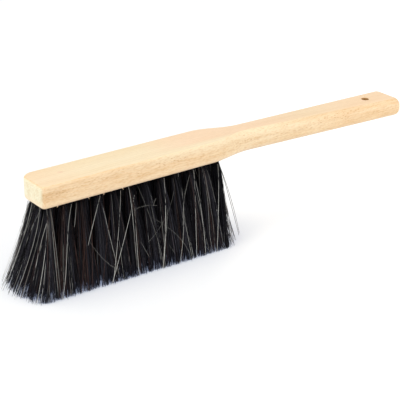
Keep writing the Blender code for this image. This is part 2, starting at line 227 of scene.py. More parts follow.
def new_mesh(name, points, faces, material):
    """A mesh object in the scene."""
    mesh = bpy.data.meshes.new(name)
    mesh.from_pydata(points.tolist(), [], faces)
    mesh.materials.append(material)
    return new_object(name, mesh)


def add_piece(name, points, faces, material, replaced):
    """A smooth-shaded piece that rides on the stock's body and stands for CAD nodes."""
    piece = new_mesh(name, points, faces, material)
    piece.data.shade_smooth()
    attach(piece, BODY)
    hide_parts(*replaced)
    return piece


# How finely the stock is drawn
CORNER_STEPS = 14
HEAD_SIDE_STEPS = 40
SHOULDER_STEPS = 36
HANDLE_STEPS = 36
TOP_EDGE_STEPS = 9
BOTTOM_EDGE_STEPS = 11
SUPPORT_INSET = 0.00005  # of a flat face's rim from the last ring of its rounded edge, which keeps it flat
TUFT_HOLE_SIDES = 20
HANG_HOLE_SIDES = 40
HANG_RIM_STEPS = 4
CAP_GRID = 0.0045  # the grid of points on the top and bottom faces: its pitch along, and its rows across
CAP_ROWS = 7
CAP_HOLE_GAP = 0.0007
INSIDE_CONSTRAINTS = 1  # the kind of meshing that keeps what lies inside the rim
MESHING_TOLERANCE = 1e-7
SHARP_ANGLE = math.radians(40)


def shoulder_blend(along):
    """t²(3 - 2t) with t from 0 at the head's straight sides to 1 at the neck."""
    t = np.clip((along - HEAD_LENGTH) / SHOULDER_LENGTH, 0, 1)
    return t * t * (3 - 2 * t)


def side_half_width(along):
    """Half the width: the head's, blended by the shoulder into a handle that widens evenly to its end."""
    handle = NECK_WIDTH / 2 + GRIP_TAPER * np.maximum(along - NECK_START, 0)
    return HEAD_HALF + (handle - HEAD_HALF) * shoulder_blend(along)


def set_down(along, slope):
    """Drop of one of the handle's faces below the head's line: slope · (past - bend + bend² / 2·length)."""
    past = np.maximum(along - HEAD_LENGTH, 0)
    bend = np.minimum(past, SET_DOWN_BEND_LENGTH)
    return slope * (past - bend + bend**2 / (2 * SET_DOWN_BEND_LENGTH))


def corner_arc(x, y, radius, start, end):
    """Points centre + radius · (cos, sin) of angles from start to end, and those directions."""
    angle = np.linspace(start, end, CORNER_STEPS + 1)
    normal = np.column_stack((np.cos(angle), np.sin(angle)))
    return np.array((x, y)) + radius * normal, normal


def stock_outline(head_corner_radius):
    """Half the plan outline, for the +Y side, from head end to grip end, and its normals: corner arc, side
    curve, corner arc."""
    corner_y = HEAD_HALF - head_corner_radius
    head_arc = corner_arc(head_corner_radius, corner_y, head_corner_radius, math.pi, math.pi / 2)
    slope = math.atan(GRIP_TAPER)
    grip_x = OVERALL_LENGTH - GRIP_CORNER_RADIUS
    grip_y = float(side_half_width(grip_x)) - GRIP_CORNER_RADIUS / math.cos(slope)
    grip_arc = corner_arc(grip_x, grip_y, GRIP_CORNER_RADIUS, math.pi / 2 + slope, 0)
    along = np.concatenate((
        np.linspace(head_corner_radius, HEAD_LENGTH, HEAD_SIDE_STEPS + 1)[1:],
        np.linspace(HEAD_LENGTH, NECK_START, SHOULDER_STEPS + 1)[1:],
        np.linspace(NECK_START, grip_arc[0][0, 0], HANDLE_STEPS + 1)[1:-1],
    ))
    rise = np.gradient(side_half_width(along), along)
    normals = np.column_stack((-rise, np.ones_like(rise))) / np.sqrt(1 + rise**2)[:, None]
    sides = np.column_stack((along, side_half_width(along)))
    return np.vstack((head_arc[0], sides, grip_arc[0])), np.vstack((head_arc[1], normals, grip_arc[1]))


def half_skin(head_corner_radius):
    """Rings of one side and its rounded edges, top to bottom. At angle a from level, a ring insets the
    outline by r(1 - cos a) along its normals and stands r(1 - sin a) from the face."""
    points, normals = stock_outline(head_corner_radius)
    blend = shoulder_blend(points[:, 0])
    top_radius = HEAD_TOP_EDGE_RADIUS + (HANDLE_TOP_EDGE_RADIUS - HEAD_TOP_EDGE_RADIUS) * blend
    bottom_radius = HEAD_BOTTOM_EDGE_RADIUS + (HANDLE_BOTTOM_EDGE_RADIUS - HEAD_BOTTOM_EDGE_RADIUS) * blend
    top = np.linspace(math.pi / 2, 0, TOP_EDGE_STEPS + 1)[:, None]
    bottom = np.linspace(0, math.pi / 2, BOTTOM_EDGE_STEPS + 1)[:, None]
    inset = np.vstack((
        top_radius + SUPPORT_INSET,
        top_radius * (1 - np.cos(top)),
        bottom_radius * (1 - np.cos(bottom)),
        bottom_radius + SUPPORT_INSET,
    ))
    height = np.vstack((
        TOP_Z + 0 * top_radius,
        TOP_Z - top_radius * (1 - np.sin(top)),
        UNDERSIDE_Z + bottom_radius * (1 - np.sin(bottom)),
        UNDERSIDE_Z + 0 * bottom_radius,
    ))
    slope = np.repeat((TOP_SLOPE, BOTTOM_SLOPE), (len(top) + 1, len(bottom) + 1))[:, None]
    plan = points - normals * inset[:, :, None]
    return np.dstack((plan[:, :, 0], plan[:, :, 1], height - set_down(plan[:, :, 0], slope)))


def stock_skin():
    """Whole rings round the stock: the +Y side's out to the grip's end, then the -Y side's back, mirrored."""
    far, near = half_skin(HEAD_FAR_CORNER_RADIUS), half_skin(HEAD_NEAR_CORNER_RADIUS)
    return np.concatenate((far, near[:, ::-1] * (1, -1, 1)), axis=1)


def circle(x, y, radius, sides):
    """Points of a circle: centre + radius · (cos a, sin a)."""
    angle = 2 * math.pi * np.arange(sides) / sides
    return np.column_stack((x + radius * np.cos(angle), y + radius * np.sin(angle)))


def band(upper, lower):
    """Quads joining two rings of points."""
    return np.column_stack((upper, lower, np.roll(lower, -1), np.roll(upper, -1))).tolist()


def cap_triangles(rim, circles, radii):
    """Triangles between a face's rim and its round holes, over a plan grid that carries the handle's bend.
    Returns the grid's points, which follow the rim's and the circles', and the triangles."""
    centres = np.array([c.mean(axis=0) for c in circles])
    low, high = rim.min(axis=0), rim.max(axis=0)
    xs = np.arange(low[0] + CAP_GRID / 2, high[0], CAP_GRID)
    ys = np.linspace(-1, 1, CAP_ROWS)
    plan = np.dstack(np.meshgrid(xs, ys)).reshape(-1, 2)
    far, near = rim[: len(rim) // 2], rim[: len(rim) // 2 - 1 : -1]
    far_room = np.interp(plan[:, 0], far[:, 0], far[:, 1])
    near_room = np.interp(plan[:, 0], near[:, 0], -near[:, 1])
    room = np.where(plan[:, 1] > 0, far_room, near_room) - CAP_GRID / 3
    grid = np.column_stack((plan[:, 0], plan[:, 1] * room))
    away = np.linalg.norm(grid[:, None] - centres[None], axis=2) - radii
    grid = grid[(away.min(axis=1) > CAP_HOLE_GAP) & (room > CAP_GRID / 2)]
    loops = [rim, *circles]
    starts = np.cumsum([0] + [len(loop) for loop in loops])
    edges = []
    for start, loop in zip(starts, loops):
        here = np.arange(len(loop))
        edges += np.column_stack((start + here, start + (here + 1) % len(loop))).tolist()
    points = np.vstack((*loops, grid))
    found = delaunay_2d_cdt(points.tolist(), edges, [], INSIDE_CONSTRAINTS, MESHING_TOLERANCE)
    faces = np.array([ids[0] for ids in found[3]])[np.array(found[2])]
    owner = np.searchsorted(starts, faces, side="right")
    in_one_hole = (owner == owner[:, :1]).all(axis=1) & (owner[:, 0] > 1) & (owner[:, 0] <= len(loops))
    return grid, faces[~in_one_hole]


def make_stock(material):
    """The skin's rings, its top and bottom faces, the drilled tuft holes and the rounded hanging hole."""
    skin = stock_skin()
    rings, loop = skin.shape[:2]
    parts = [skin.reshape(-1, 3)]
    faces = grid_faces(rings, loop).tolist()
    hang = OVERALL_LENGTH - HANG_HOLE_FROM_END
    mouth = HANG_HOLE_RADIUS + HANG_HOLE_RIM
    roots = np.array([(along, across) for _, along, across in TUFT_ROOTS])
    top_circles = [circle(hang, 0, mouth, HANG_HOLE_SIDES)]
    low_circles = [circle(x, y, HOLE_RADIUS, TUFT_HOLE_SIDES) for x, y in roots] + top_circles
    low_radii = np.array([HOLE_RADIUS] * len(roots) + [mouth])
    count = len(parts[0])
    rims = []
    for ring, face_z, slope, circles, radii in (
        (0, TOP_Z, TOP_SLOPE, top_circles, np.array([mouth])),
        (rings - 1, UNDERSIDE_Z, BOTTOM_SLOPE, low_circles, low_radii),
    ):
        grid, triangles = cap_triangles(skin[ring, :, :2], circles, radii)
        flat = np.vstack((*circles, grid))
        parts.append(np.column_stack((flat, face_z - set_down(flat[:, 0], slope))))
        place = np.concatenate((ring * loop + np.arange(loop), count + np.arange(len(flat))))
        triangles = place[triangles]
        faces += (triangles if ring == 0 else triangles[:, ::-1]).tolist()
        rims.append(count)
        count += len(flat)
    top_rim, low_rims = rims

    # Each tuft hole: a straight wall up from its mouth, and the drill's point
    turn = circle(0, 0, 1, TUFT_HOLE_SIDES)
    for k, (x, y) in enumerate(roots):
        rim = low_rims + k * TUFT_HOLE_SIDES + np.arange(TUFT_HOLE_SIDES)
        top = UNDERSIDE_Z + HOLE_DEPTH
        wall = np.column_stack((HOLE_RADIUS * turn + (x, y), np.full(TUFT_HOLE_SIDES, top - DRILL_POINT)))
        parts.append(np.vstack((wall, (x, y, top))))
        end = count + np.arange(TUFT_HOLE_SIDES)
        tip = np.full(TUFT_HOLE_SIDES, count + TUFT_HOLE_SIDES)
        faces += band(rim, end)
        faces += np.column_stack((end, tip, np.roll(end, -1))).tolist()
        count += TUFT_HOLE_SIDES + 1

    # The hanging hole: a rounded rim, a straight bore and a rounded rim
    angle = np.linspace(0, math.pi / 2, HANG_RIM_STEPS + 1)[1:]
    inward = HANG_HOLE_RADIUS + HANG_HOLE_RIM * (1 - np.sin(angle))
    down = HANG_HOLE_RIM * (1 - np.cos(angle))
    radius = np.concatenate((inward, inward[::-1]))
    height = np.concatenate((TOP_Z - down, UNDERSIDE_Z + down[::-1]))[:, None]
    slope = np.repeat((TOP_SLOPE, BOTTOM_SLOPE), len(down))[:, None]
    turn = circle(0, 0, 1, HANG_HOLE_SIDES)
    x = hang + radius[:, None] * turn[None, :, 0]
    y = radius[:, None] * turn[None, :, 1]
    parts.append(np.dstack((x, y, height - set_down(x, slope))).reshape(-1, 3))
    bore = count + np.arange(len(radius) * HANG_HOLE_SIDES).reshape(-1, HANG_HOLE_SIDES)
    around = np.arange(HANG_HOLE_SIDES)
    low_rim = low_rims + len(roots) * TUFT_HOLE_SIDES + around
    rows = np.vstack((top_rim + around, bore, low_rim))
    for upper, lower in zip(rows[:-1], rows[1:]):
        faces += band(upper, lower)
    points = np.vstack(parts) + (HEAD_END_X, 0, 0)
    stock = add_piece("beech_stock", points, faces, material, ["stock"])
    stock.data.set_sharp_from_angle(angle=SHARP_ANGLE)


# Fibre: its stations and sides, and how its bake map is laid out
STATION_DEPTHS = (-1, 0, 0.04, 0.12, 0.26, 0.43, 0.61, 0.80, 1)  # shares of its free length, after its root
FIBRE_STATIONS = len(STATION_DEPTHS)
FIBRE_SIDES = 3
DYE_TURNS = 7  # how often the tubes' sides go round as the dye goes from 0 to 1
BAKE_COLUMNS = 50
CELL_FILL = 0.86  # share of its cell of the bake map that a fibre takes

# A fibre's dye, as a place on the material's colour ramp, and its radius
BLACK_DYE = (0.0, 0.78)
BROWN_DYE = (0.80, 0.88)
STRAW_DYE = (0.90, 1.0)
BLACK_RADIUS = (0.00014, 0.00023)
BROWN_RADIUS = (0.00016, 0.00024)
STRAW_RADIUS = (0.00015, 0.00024)
FRINGE_STRAW_RADIUS = (0.00018, 0.00026)
LOCK_TONE = 0.35  # how much of a black fibre's tone is its lock's
TONE_POWER = 1.6
BROWN_ZONE = (0.042, 0.022)  # where the front has more brown locks: its middle along, and its reach
BROWN_LOCKS = (0.12, 0.45)  # share of the locks, and what the zone adds to it
BROWN_FIBRES = (0.04, 0.30)  # share of the fibres, and what a brown lock adds to it
STRAW_ZONES = ((1.0, 0.180, 0.026), (0.3, 0.010, 0.022))  # how much more straw, middle and reach
STRAW_LOCKS = 0.15
STRAW_FIBRES = (0.016, 0.035, 0.016)  # share of the fibres, and what a straw lock and a zone add to it


def seat_in_corner(along, across):
    """A tuft's place, moved inwards where its hole would break the rounded edge, by a corner or on the
    shoulder."""
    if along > HEAD_LENGTH:
        return along, math.copysign(min(abs(across), OUTER_ROW_Y - SHOULDER_HOLE_INSET), across)
    radius = HEAD_FAR_CORNER_RADIUS if across > 0 else HEAD_NEAR_CORNER_RADIUS
    centre = np.array((radius, math.copysign(HEAD_HALF - radius, across)))
    past = np.array((along, across)) - centre
    if past[0] > 0 or past[1] * centre[1] < 0:
        return along, across
    room = radius - HEAD_BOTTOM_EDGE_RADIUS - HOLE_RADIUS - CORNER_HOLE_MARGIN
    return tuple(centre + past * min(1, room / np.linalg.norm(past)))


def tuft_roots():
    """Each tuft's name and its root's place along and across the head: staggered rows, front to back."""
    roots = []
    for row in range(TUFT_ROWS):
        offset_row = row % 2
        for column in range(TUFTS_IN_LONG_ROW - offset_row):
            name = f"{chr(ord('a') + row)}{column + 1:02d}"
            along = FIRST_TUFT + (column + offset_row / 2) * TUFT_PITCH
            roots.append((name, *seat_in_corner(along, row * ROW_SPACING - OUTER_ROW_Y)))
    return roots


TUFT_ROOTS = tuft_roots()


def side_lean(along):
    """How far the outer rows' tips travel sideways, which grows evenly towards the neck."""
    return np.interp(along, (FIRST_TUFT, LAST_TUFT), (HEAD_SIDE_LEAN, NECK_SIDE_LEAN))


def tuft_lean(along, across):
    """How far a tuft's axis travels from root to tip, along and across. Along, it is the end's lean
    · e^(-distance from the end tuft / fade), less at the head's corners. Across, it grows with the row."""
    outward = across / OUTER_ROW_Y
    head_end_lean = HEAD_END_LEAN * (1 - CORNER_LEAN_LOSS * outward**2)
    head_lean = head_end_lean * math.exp((FIRST_TUFT - along) / END_LEAN_FADE)
    neck_lean = NECK_END_LEAN * math.exp((along - LAST_TUFT) / END_LEAN_FADE)
    return np.array((neck_lean - head_lean, outward * side_lean(along)))


def fibre_tubes(name, paths, radii, dye, material, replaced):
    """Closed tubes round many paths at once: point = path + radius · (cos a · n + sin a · b), with n and b
    square to the path, and each tube turned by its dye. paths is fibres × stations × 3, radii is
    fibres × stations, and dye is one value a fibre."""
    fibres, stations = radii.shape
    tangent = np.gradient(paths, axis=1)
    tangent /= np.linalg.norm(tangent, axis=2, keepdims=True)
    normal = np.cross(tangent, (0.0, 1.0, 0.0))
    normal /= np.linalg.norm(normal, axis=2, keepdims=True)
    binormal = np.cross(tangent, normal)
    turn = 2 * math.pi * (np.arange(FIBRE_SIDES)[None, :] / FIBRE_SIDES + dye[:, None] * DYE_TURNS)
    cos, sin = np.cos(turn)[:, None, :, None], np.sin(turn)[:, None, :, None]
    ring = cos * normal[:, :, None] + sin * binormal[:, :, None]
    points = paths[:, :, None] + radii[:, :, None, None] * ring
    points[..., 2] = np.maximum(points[..., 2], FLOOR_GAP)
    per_fibre = stations * FIBRE_SIDES
    first = np.arange(fibres)[:, None, None] * per_fibre
    sides = (grid_faces(stations, FIBRE_SIDES)[None] + first).reshape(-1, 4)
    ends = np.array((np.arange(FIBRE_SIDES)[::-1], per_fibre - FIBRE_SIDES + np.arange(FIBRE_SIDES)))
    ends = (ends[None] + first).reshape(-1, FIBRE_SIDES)
    faces = sides.tolist() + ends.tolist()
    piece = add_piece(name, points.reshape(-1, 3), faces, material, replaced)
    mesh = piece.data
    run = np.tile(np.repeat(np.linspace(0, 1, stations), FIBRE_SIDES), fibres)
    for label, value in (("dye", np.repeat(dye, per_fibre)), ("run", run)):
        mesh.attributes.new(label, "FLOAT", "POINT").data.foreach_set("value", value.astype(np.float32))

    # The bake map gives each fibre a cell of its own, across for its girth and up for its length
    rows = math.ceil(fibres / BAKE_COLUMNS)
    cell = np.column_stack((np.arange(fibres) % BAKE_COLUMNS, np.arange(fibres) // BAKE_COLUMNS))
    station = np.repeat(np.arange(stations - 1), FIBRE_SIDES)
    side_uv = np.dstack((
        np.broadcast_to((0, 1, 1, 0), (len(station), 4)),
        (station[:, None] + (0, 0, 1, 1)) / (stations - 1),
    ))
    end_uv = np.array((((0, 0), (1, 0), (0.5, 0.02)), ((0, 1), (1, 1), (0.5, 0.98))))
    margin = (1 - CELL_FILL) / 2
    corners = np.concatenate([
        ((cell[:, None, None] + margin + CELL_FILL * uv[None]) / (BAKE_COLUMNS, rows)).reshape(-1, 2)
        for uv in (side_uv, end_uv)
    ])
    mesh.uv_layers.new(name="OFBake").data.foreach_set("uv", corners.ravel().astype(np.float32))


def in_disc(rng, count):
    """Random places in a disc of radius 1: sqrt(u) · (cos a, sin a)."""
    reach, angle = np.sqrt(rng.random(count)), 2 * math.pi * rng.random(count)
    return np.column_stack((reach * np.cos(angle), reach * np.sin(angle)))


def redraw(values, chosen, limits, rng):
    """Draws the chosen ones of some values again, evenly between limits."""
    return np.where(chosen, rng.uniform(*limits, len(values)), values)


def tip_reach(along):
    """How far a tuft's tips reach from its middle towards the head's end and towards the neck:
    reach · (1 + stretch · e^(-distance from the first tuft / fade)), or an end tuft's own reach."""
    between = TIP_REACH_ALONG * (1 + END_STRETCH * math.exp((FIRST_TUFT - along) / END_LEAN_FADE))
    steps = (SECOND_TUFT - END_REACH_FADE, SECOND_TUFT, SECOND_TUFT + END_REACH_FADE)
    head_reach = np.interp(along, steps, (*END_TIP_REACH[:2], between))
    neck_reach = np.interp(along, (LAST_TUFT - TUFT_PITCH, LAST_TUFT), (between, END_TIP_REACH[2]))
    return head_reach, neck_reach


def side_reach(along, across, spread):
    """How far a tuft's tips reach across from its middle: further outwards from the front and back rows, and
    further inwards from the first tufts."""
    if along < FIRST_TUFTS_END:
        return np.where(spread * across > 0, *END_SIDE_REACH)
    outwards = spread * across > OUTER_ROWS_START * np.abs(spread)
    return np.where(outwards, OUTER_TIP_REACH, TIP_REACH_ACROSS)


def round_in(place_along, place_across, rng):
    """Tips past the rounded ends of the brush are folded back inside. An end's line is
    end ± loss · (|across| / half)^4, and a tip comes back by a little more than it is past the line."""
    back = rng.uniform(*FOLD_BACK, len(place_along))
    head_end, head_loss, head_half = HEAD_END_TIPS
    neck_end, neck_loss, neck_half = NECK_END_TIPS
    head_line = head_end + head_loss * (np.abs(place_across) / head_half) ** 4
    neck_line = neck_end - neck_loss * (np.abs(place_across) / neck_half) ** 4
    place_along = place_along + back * np.maximum(head_line - place_along, 0)
    return place_along - back * np.maximum(place_along - neck_line, 0)


def tuft_tips(along, across, rng):
    """Where a tuft's fibres lie in its bundle, and their tips: reach · place / squareness^power, so that they
    fill the tuft's share of the brush's underside, with ^crowding towards the brush's edges. Then they are
    drawn together a little into locks, scattered, leaned with the tuft and rounded in. Also returns the
    tips' shares of the reach, each fibre's lock, and which fibres stray."""
    outer = abs(across) > OUTER_ROWS_START
    near_end = along < SECOND_TUFTS_END
    count = FIBRES_IN_OUTER_TUFT if outer else FIBRES_IN_TUFT
    places = in_disc(rng, count)
    squareness = np.abs(places).max(axis=1) / np.linalg.norm(places, axis=1)
    spread = places / squareness[:, None] ** (OUTER_SQUARENESS if outer else INNER_SQUARENESS)
    outwards = np.column_stack((near_end & (spread[:, 0] < 0), outer & (spread[:, 1] * across > 0)))
    spread = np.where(outwards, np.sign(spread) * np.abs(spread) ** EDGE_CROWDING, spread)
    head_reach, neck_reach = tip_reach(along)
    reach = np.where(spread[:, 0] < 0, head_reach, neck_reach)
    tips = np.column_stack((spread[:, 0] * reach, spread[:, 1] * side_reach(along, across, spread[:, 1])))
    leaders = rng.choice(count, LOCKS_IN_TUFT, replace=False)
    lock = np.linalg.norm(places[:, None] - places[leaders][None], axis=2).argmin(axis=1)
    drift = rng.normal(0, 1, (LOCKS_IN_TUFT, 2)) * LOCK_DRIFT
    tips += (tips[leaders][lock] - tips) * LOCK_PULL + drift[lock]
    tips += rng.normal(0, 1, (count, 2)) * TIP_SCATTER
    wild = rng.random(count) < WILD_SHARE
    tips += wild[:, None] * rng.normal(0, 1, (count, 2)) * WILD_SCATTER
    tips += tuft_lean(along, across)
    tips[:, 0] = round_in(along + tips[:, 0], across + tips[:, 1], rng) - along
    return places, spread, tips, lock, wild


def near_zone(along, middle, reach):
    """e^-((along - middle) / reach)²."""
    return math.exp(-(((along - middle) / reach) ** 2))


def pick_dyes(along, across, lock, rng):
    """A dye and a radius for each fibre: mostly black, in locks of about one tone, with some red-brown ones
    and some straw-grey ones."""
    count = len(lock)
    tone = LOCK_TONE * rng.random(LOCKS_IN_TUFT)[lock] + (1 - LOCK_TONE) * rng.random(count) ** TONE_POWER
    dye = BLACK_DYE[0] + (BLACK_DYE[1] - BLACK_DYE[0]) * tone
    kind = rng.random(count)
    brown_zone = near_zone(along, *BROWN_ZONE) * (across < 0)
    brown_lock = (rng.random(LOCKS_IN_TUFT) < BROWN_LOCKS[0] + BROWN_LOCKS[1] * brown_zone)[lock]
    brown = kind < BROWN_FIBRES[0] + BROWN_FIBRES[1] * brown_lock
    straw_lock = (rng.random(LOCKS_IN_TUFT) < STRAW_LOCKS)[lock]
    straw_zone = sum(share * near_zone(along, *zone) for share, *zone in STRAW_ZONES)
    straw_share, from_lock, from_zone = STRAW_FIBRES
    straw = kind > 1 - straw_share - from_lock * straw_lock - from_zone * straw_zone
    dye = redraw(dye, brown, BROWN_DYE, rng)
    dye = redraw(dye, straw, STRAW_DYE, rng)
    radius = rng.uniform(*BLACK_RADIUS, count)
    radius = redraw(radius, brown, BROWN_RADIUS, rng)
    radius = redraw(radius, straw, STRAW_RADIUS, rng)
    return dye, radius


def flares_along(along, across, spread, flares, rng):
    """The power of depth that each fibre's splay follows along the head. The outward fibres of the tufts by
    each end leave the head nearly straight. The last tufts' headward ones flare at once, and so does all of
    the middle row's last tuft."""
    first, last = along < SECOND_TUFTS_END, along > LAST_TUFTS_START
    towards_end = (spread < 0) if first else (spread > 0)
    flares = redraw(flares, (first | last) & towards_end, END_FLARES, rng)
    headward = (spread < NECK_GAP_SPREAD) | (abs(across) < MIDDLE_ROW_HALF)
    return redraw(flares, last & headward, NECK_GAP_FLARES, rng)


def flares_across(across, spread, flares, rng):
    """The power of depth that each fibre's splay follows across the head."""
    flares = redraw(flares, spread * across < 0, INNER_FLARES, rng)
    return redraw(flares, abs(across) < MIDDLE_ROW_HALF, MIDDLE_FLARES, rng)


def make_tuft(name, along, across, material, rng):
    """One tuft's fibres: root + (tip - root) · s^flare + wave, with s the share of the depth, and the wave
    swing · (sin(2π · waves · s + phase) - sin phase) · √s in a heading of its own."""
    places, spread, tips, lock, wild = tuft_tips(along, across, rng)
    roots = BUNDLE_RADIUS * places
    count = len(roots)
    dye, radius = pick_dyes(along, across, lock, rng)

    # The end tufts' outermost fibres lean further out, in a thin fringe with more undyed ones
    first, last = along < FIRST_TUFTS_END, along > LAST_TUFTS_START
    if first or last:
        outwards = -1 if first else 1
        share, fringe_reach, undyed = HEAD_FRINGE if first else NECK_FRINGE
        fringe = (outwards * places[:, 0] > FRINGE_START) & (rng.random(count) < share)
        tips[:, 0] += outwards * fringe * rng.uniform(0, fringe_reach, count)
        pale = fringe & (rng.random(count) < undyed)
        dye = redraw(dye, pale, STRAW_DYE, rng)
        radius = redraw(radius, pale, FRINGE_STRAW_RADIUS, rng)

    short = np.abs(rng.normal(0, SHORTFALL[0], LOCKS_IN_TUFT))[lock]
    short += np.abs(rng.normal(0, SHORTFALL[1], count))
    short += (rng.random(count) < SHORT_SHARE) * rng.uniform(0, SHORT_FIBRE_LOSS, count)
    length = TRIM - FLOOR_GAP - short
    stations = np.array(STATION_DEPTHS)
    depth = np.where(stations < 0, -ROOT_DEPTH, stations * length[:, None])
    s = np.clip(depth / TRIM, 0, None)
    flares = rng.uniform(*FLARES, count)
    along_share = s ** flares_along(along, across, spread[:, 0], flares, rng)[:, None]
    across_share = s ** flares_across(across, spread[:, 1], flares, rng)[:, None]
    swing = rng.normal(0, SWING, count)[:, None] * (1 + WILD_EXTRA_SWING * wild[:, None])
    waves = rng.uniform(*WAVES, count)[:, None]
    phase = 2 * math.pi * rng.random(count)[:, None]
    wave = swing * (np.sin(2 * math.pi * waves * s + phase) - np.sin(phase)) * np.sqrt(s)
    heading = 2 * math.pi * rng.random(count)[:, None]
    splay = tips - roots
    x = HEAD_END_X + along + roots[:, :1] + splay[:, :1] * along_share + wave * np.cos(heading)
    y = across + roots[:, 1:] + splay[:, 1:] * across_share + wave * np.sin(heading)
    paths = np.dstack((x, y, UNDERSIDE_Z - depth))
    radii = radius[:, None] * (1 - FIBRE_TAPER * s)
    fibre_tubes(f"fibres_{name}", paths, radii, dye, material, [f"tuft_{name}"])


def curve_through(places):
    """A fibre's stations on the polynomial through some places, by their distance along the way."""
    places = np.array(places, dtype=float)
    gone = np.concatenate(((0,), np.cumsum(np.linalg.norm(np.diff(places, axis=0), axis=1))))
    terms = np.polyfit(gone / gone[-1], places, len(places) - 1)
    return np.vander(np.linspace(0, 1, FIBRE_STATIONS), len(places)) @ terms


def front_of_fibre(along, up):
    """The y of the front of the mass of fibre: row + (lean + reach) · (share of the depth)^flare."""
    share = np.clip((UNDERSIDE_Z - up) / TRIM, 0, 1) ** FRONT_FLARE
    return -(OUTER_ROW_Y + BUNDLE_RADIUS + share * (side_lean(along) + HAIR_REACH - BUNDLE_RADIUS))


def make_standing_hairs(material):
    """The single hairs that stand out of the mass of fibre, each a curve through two to four places."""
    curves = []
    for _, _, places in FRONT_HAIRS:
        curve = curve_through(places) / 1000
        across = front_of_fibre(curve[:, 0], curve[:, 1]) - HAIR_LIFT
        curves.append(np.column_stack((curve[:, 0], across, curve[:, 1])))
    curves += [curve_through(places) / 1000 for _, _, places in END_HAIRS]
    dye, radius = np.array([(hair[0], hair[1] / 1000) for hair in FRONT_HAIRS + END_HAIRS]).T
    paths = np.array(curves) + (HEAD_END_X, 0, 0)
    radii = radius[:, None] * np.linspace(1, 1 - HAIR_TAPER, FIBRE_STATIONS)
    fibre_tubes("standing_hairs", paths, radii, dye, material, ["tuft_a06"])


def make_edge_splinters(material):
    """Four short splinters of wood that the drill and plane left on the head's lower front edge: a flattened
    tube round a straight line, whose girth falls with the root of what is left of its length."""
    last_ring = (SPLINTER_STATIONS - 1) * SPLINTER_SIDES
    ends = [tuple(range(SPLINTER_SIDES))[::-1], tuple(range(last_ring, last_ring + SPLINTER_SIDES))]
    faces = grid_faces(SPLINTER_STATIONS, SPLINTER_SIDES).tolist() + ends
    run = np.linspace(0, 1, SPLINTER_STATIONS)[:, None]
    turn = 2 * math.pi * np.arange(SPLINTER_SIDES)[None, :] / SPLINTER_SIDES
    girth = SPLINTER_GIRTH * np.sqrt(1 - run * SPLINTER_THINNING)
    broad, thin = SPLINTER_FLATNESS
    for k, (along, lean) in enumerate(EDGE_SPLINTERS):
        x = HEAD_END_X + along + lean * run + girth * np.cos(turn) * broad
        y = -HEAD_HALF + SPLINTER_SET_IN[0] - SPLINTER_DRIFT * run + girth * np.sin(turn) * thin
        z = UNDERSIDE_Z + SPLINTER_SET_IN[1] - SPLINTER_DROP * run + 0 * turn
        points = np.dstack((x, y, z)).reshape(-1, 3)
        add_piece(f"edge_splinter_{k + 1}", points, faces, material, ["stock"])


def set_inputs(tree, node, inputs):
    """Fills a shader node's inputs. Each is a value, or another node's output to link."""
    for socket, value in inputs.items():
        if isinstance(value, bpy.types.NodeSocket):
            tree.links.new(value, node.inputs[socket])
        else:
            node.inputs[socket].default_value = value


def add_node(tree, kind, inputs=None, **settings):
    """A shader node with its settings and inputs."""
    node = tree.nodes.new(f"ShaderNode{kind}")
    for key, value in settings.items():
        setattr(node, key, value)
    set_inputs(tree, node, inputs or {})
    return node


def ramp(tree, factor, stops):
    """A colour ramp's output, from (place, colour) stops. A single number stands for a grey."""
    node = add_node(tree, "ValToRGB", {"Fac": factor})
    elements = node.color_ramp.elements
    for k, (place, colour) in enumerate(stops):
        element = elements[k] if k < 2 else elements.new(place)
        element.position = place
        element.color = (colour,) * 3 + (1,) if isinstance(colour, (int, float)) else (*colour, 1)
    return node.outputs["Color"]


def blend(tree, factor, below, above, mode="MIX"):
    """below mixed with above by a factor."""
    below, above = ((*colour, 1) if isinstance(colour, tuple) else colour for colour in (below, above))
    node = add_node(tree, "Mix", data_type="RGBA", blend_type=mode)
    set_inputs(tree, node, {0: factor, 6: below, 7: above})
    return node.outputs[2]


def tint(tree, factor, tone, colour):
    """A tone times a colour, as far as a factor says."""
    return blend(tree, factor, tone, colour, "MULTIPLY")


def calc(tree, operation, *values):
    """The output of one step of arithmetic on numbers and other nodes' outputs."""
    return add_node(tree, "Math", dict(enumerate(values)), operation=operation).outputs[0]


def new_material(name):
    """A material with nodes, its node tree and its shader."""
    material = bpy.data.materials.new(name)
    material.use_nodes = True
    tree = material.node_tree
    return material, tree, tree.nodes["Principled BSDF"]


def map_place(tree, place, scale, shift=(0, 0, 0)):
    """place · scale + shift."""
    return add_node(tree, "Mapping", {"Vector": place, "Scale": scale, "Location": shift}).outputs[0]


def streaks(tree, place, scale, detail=2.0, shift=(0, 0, 0)):
    """Noise drawn out along the grain: its features are 1 / scale metres long on each axis."""
    place = map_place(tree, place, scale, shift)
    inputs = {"Vector": place, "Scale": 1.0, "Detail": detail, "Roughness": 0.55}
    return add_node(tree, "TexNoise", inputs).outputs["Fac"]


def fade(tree, value, full, none, kind="SMOOTHSTEP"):
    """1 where a value is at full, 0 where it is at none, and between them a smooth or a LINEAR change."""
    inputs = {"Value": value, "From Min": none, "From Max": full}
    return add_node(tree, "MapRange", inputs, interpolation_type=kind).outputs[0]


def distance(tree, place):
    """How far a place is from the origin."""
    return add_node(tree, "VectorMath", {0: place}, operation="LENGTH").outputs["Value"]


def nearness(tree, place, centre, reach):
    """1 at a centre and up to 0.35 of the reach round it, and 0 from the whole reach on. None has no end."""
    scale = [0 if r is None else 1 / r for r in reach]
    shift = [-c * s for c, s in zip(centre, scale)]
    return fade(tree, distance(tree, map_place(tree, place, scale, shift)), 0.35, 1.0)


def near_along(tree, place, along, reach):
    """1 at a place along the stock, fading to 0 at a reach to both sides."""
    return nearness(tree, place, (HEAD_END_X + along, 0, 0), (reach, None, None))


